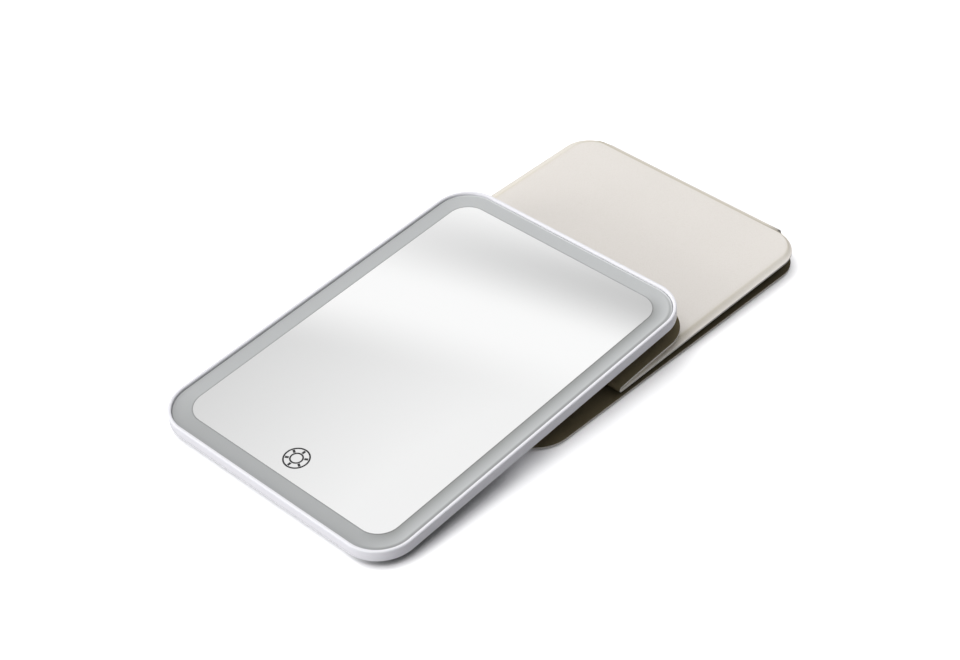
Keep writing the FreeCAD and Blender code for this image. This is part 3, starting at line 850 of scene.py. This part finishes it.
def panelLoop(bm, size, panel, flip, offset, height, paintedShade):  # outline drawn in, less so at the folds; each row carries its weight of painted shade
    foldShare = (folio["foldMargin"] - folio["foldLead"]) / folio["margin"]
    halfWide = size.x / 2 - offset
    points = []
    for far, signX in ((0, -1), (0, 1), (1, 1), (1, -1)):
        fold = panel["folds"][far]
        right = (signX > 0) != flip
        drawn = folio["foldLead"] + offset * foldShare if fold else offset
        end = (size.y / 2 - drawn) * (1 if far else -1)
        radius = max(cornerOf(fold, right) - offset, 0) if panel["rounded"][far] else 0
        waist = folio["waist"][right] if fold else 0
        rise = radius - max(waist * (1 - offset / folio["margin"]), 0)
        centre = (signX * (halfWide - radius), end - math.copysign(max(rise, 0), end))
        if radius:
            arc = math.degrees(math.asin(rise / radius))
            first = {(0, -1): 180, (0, 1): 360 - arc, (1, 1): 0, (1, -1): 180 - arc}[far, signX]
            points += arcPoints(centre, radius, first, first + arc, folio["cornerSteps"])
        else:
            points.append(centre)
    verts = [bm.verts.new((x, y, height)) for x, y in points]
    layer = bm.verts.layers.float.get("paintedShade")
    for vert in verts:
        fold = panel["folds"][vert.co.y > 0]
        # painted shade: stronger towards the fold ends
        near = max(0, 1 - (size.y / 2 - abs(vert.co.y)) / folio["corner"]) if fold else 0
        vert[layer] = paintedShade * (folio["sideShade"] + (1 - folio["sideShade"]) * near)
    return verts


def pressRim(verts, size, panel):  # rims lie a little lower, but not where a fold strip goes on
    for vert in verts:
        far = vert.co.y > 0
        end = size.y / 2 - folio["foldLead"]
        if not (panel["folds"][far] and abs(vert.co.y) > end - tolerance):
            vert.co.z -= folio["edgeDrop"]


def panelSheet(name, panel, rows, lift, flip):
    axes, low, high = flatAxes(name + "_lining")
    size = high - low
    bm = bmesh.new()
    bm.verts.layers.float.new("paintedShade")
    loops = [panelLoop(bm, size, panel, flip, *row) for row in rows]
    for outer, inner in zip(loops, loops[1:]):
        for i in range(len(outer)):
            bm.faces.new((outer[i - 1], outer[i], inner[i], inner[i - 1]))
    bm.faces.new(loops[-1])
    pressRim(loops[0], size, panel)
    bmesh.ops.recalc_face_normals(bm, faces=bm.faces)
    if sum(face.normal.z * face.calc_area() for face in bm.faces) < 0:
        bmesh.ops.reverse_faces(bm, faces=bm.faces)
    bmesh.ops.translate(bm, verts=bm.verts, vec=(0, 0, lift + size.z / 2))
    if flip:
        bmesh.ops.rotate(bm, verts=bm.verts, matrix=Matrix.Rotation(math.pi, 3, "Y"))
    place = Matrix.Translation(axes @ ((low + high) / 2)) @ axes.to_4x4()
    bmesh.ops.transform(bm, matrix=place, verts=bm.verts)
    settle(bm)
    return bm, size


def thicken(piece, offset=-1, even=True):
    solid = piece.modifiers.new("thickness", "SOLIDIFY")
    solid.thickness = folio["sheet"]
    solid.offset = offset
    solid.use_even_offset = even
    solid.material_offset_rim = 1


def buildPanel(name, panel):
    flatRows = [(0, 0, 0), (folio["edgeRun"], 0, 0)]
    # the skin's rows carry painted shade along the shoulder; the lining's rows carry none
    skinRows = flatRows + [(share * folio["margin"], climb * folio["boardThick"], paintedShade)
                           for share, climb, paintedShade in shoulder]
    bm, size = panelSheet(name, panel, skinRows, folio["sheet"], not panel["skinUp"])
    skin = pieceFrom(bm, name + "_leather", leather, leather)
    bm, size = panelSheet(name, panel, flatRows + [(2 * folio["margin"], 0, 0)], 0, panel["skinUp"])
    lining = pieceFrom(bm, name + "_suede", suede, cutEdge)
    for piece, node, slot in ((skin, "skin", "folio_skin"), (lining, "lining", "folio_lining")):
        thicken(piece)
        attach(piece, panel["body"])
        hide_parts(name + "_" + node)


for name, panel in panels.items():
    buildPanel(name, panel)
print("folio panels ready")


# soft folds between the panels, bent in the side view and drawn out across the folio
cloths = {
    "lining": {"name": "suede", "materials": (suede, cutEdge)},
    "skin": {"name": "leather", "materials": (leather, leather)},
}


def foldEdge(bm, width, point):
    count = folio["foldSteps"]
    verts = [bm.verts.new((width * (step / count - 0.5), point.y, point.z)) for step in range(count + 1)]
    return verts + [bm.edges.new(pair) for pair in zip(verts, verts[1:])]


def leadOut(bm, geom, way):
    grown = bmesh.ops.extrude_edge_only(bm, edges=edgesOf(geom))["geom"]
    bmesh.ops.translate(bm, verts=vertsOf(grown), vec=way)
    return [item for item in grown if not isinstance(item, bmesh.types.BMFace)]


def turnAbout(bm, geom, centre, angle, steps):
    return bmesh.ops.spin(bm, geom=geom, cent=centre, axis=(1, 0, 0), angle=angle, steps=steps,
                          use_duplicate=False)["geom_last"]


def planeEnd(node, far):  # middle of a panel's near or far end, with its way along and its way up
    axes, low, high = flatAxes(node)
    end = axes @ Vector((0, high.y if far else low.y, (low.z + high.z) / 2))
    return end, axes.col[1].copy(), axes.col[2].copy()


def finishFold(bm, fold, kind):
    bmesh.ops.remove_doubles(bm, verts=bm.verts, dist=mergeDistance)
    bmesh.ops.recalc_face_normals(bm, faces=bm.faces)
    settle(bm)
    piece = pieceFrom(bm, fold + "_" + cloths[kind]["name"], *cloths[kind]["materials"])
    thicken(piece, 0, False)
    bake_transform(piece)
    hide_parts(fold + "_" + kind)


def shapeLoop(bm, centre, radius, bend, width, swell):  # narrow past its ends, with the skin standing proud, and painted shade where it meets the panels
    layer = bm.verts.layers.float.new("paintedShade")
    for vert in bm.verts:
        right = vert.co.x > 0
        corner = folio["spineCorner"][right]
        arm = Vector((0, vert.co.y - centre.y, vert.co.z - centre.z))
        share = math.atan2(arm.y, -arm.z) / bend
        if arm.y < 0:
            share = float(arm.z > 0)
        fromEnd = min(share, 1 - share)
        left = max(folio["waist"][right] - fromEnd * bend * radius, 0)
        half = width / 2 - corner + math.sqrt(corner ** 2 - (corner - left) ** 2)
        half -= folio["loopNarrow"][right] * math.sin(math.pi * share) ** 2
        vert.co.x *= half / (width / 2)
        ease = easeOf(min(1, fromEnd / folio["swellRun"]))
        vert.co += arm.normalized() * swell * ease
        # painted shade: full at the loop's ends, fading as the swell grows
        vert[layer] = 1 - ease


def buildSpine():
    centre = folds["spine_fold"]
    low, flapAlong, flapUp = planeEnd("flap_lining", True)
    backAlong, backUp = planeEnd("lower_back_lining", True)[1:]
    wide = folio["width"]
    bend = math.pi + math.acos(min(1, flapUp.dot(backUp)))
    midWidth = wide - sum(folio["spineCorner"])
    endWidth = midWidth
    for corner, waist in zip(folio["spineCorner"], folio["waist"]):
        endWidth += math.sqrt(corner ** 2 - (corner - waist) ** 2)
    for kind in cloths:
        radius = (low - centre).length + (folio["sheet"] if kind == "skin" else 0)
        swell = folio["swell"] if kind == "skin" else 0
        bm = bmesh.new()
        first = Vector((0, centre.y, centre.z - radius))
        edge = foldEdge(bm, wide, first - flapAlong * folio["foldLead"])
        flat = leadOut(bm, edge, flapAlong * folio["foldLead"])
        last = turnAbout(bm, flat, centre, bend, folio["spineSteps"])
        leadOut(bm, last, -backAlong * folio["foldLead"])
        shapeLoop(bm, centre, radius, bend, wide, swell)
        finishFold(bm, "spine", kind)


def buildCrease():
    centre = folds["crease_fold"]
    back, backAlong, backUp = planeEnd("lower_back_lining", False)
    top, topAlong, topUp = planeEnd("upper_back_lining", False)
    width = folio["width"]
    outer = (back - centre).length
    gap = top - centre
    bendRadius = (gap.length_squared - outer ** 2) / (2 * (gap.dot(topUp) - outer))
    bendCentre = top - topUp * bendRadius
    toBend = (centre - bendCentre).normalized()
    lead = math.acos(min(1, toBend.dot(topUp)))
    firstTurn = math.pi - lead + math.acos(min(1, backUp.dot(topUp)))
    tightSteps, easySteps = folio["creaseSteps"]
    for kind in cloths:
        radius = outer - (folio["sheet"] if kind == "skin" else 0)
        bm = bmesh.new()
        edge = foldEdge(bm, width, centre - backUp * radius + backAlong * folio["foldLead"])
        flat = leadOut(bm, edge, -backAlong * folio["foldLead"])
        tight = turnAbout(bm, flat, centre, -firstTurn, tightSteps)
        easy = turnAbout(bm, tight, bendCentre, -lead, easySteps)
        leadOut(bm, easy, topAlong * folio["foldLead"])
        finishFold(bm, "crease", kind)


buildSpine()
buildCrease()
print("soft folds ready")
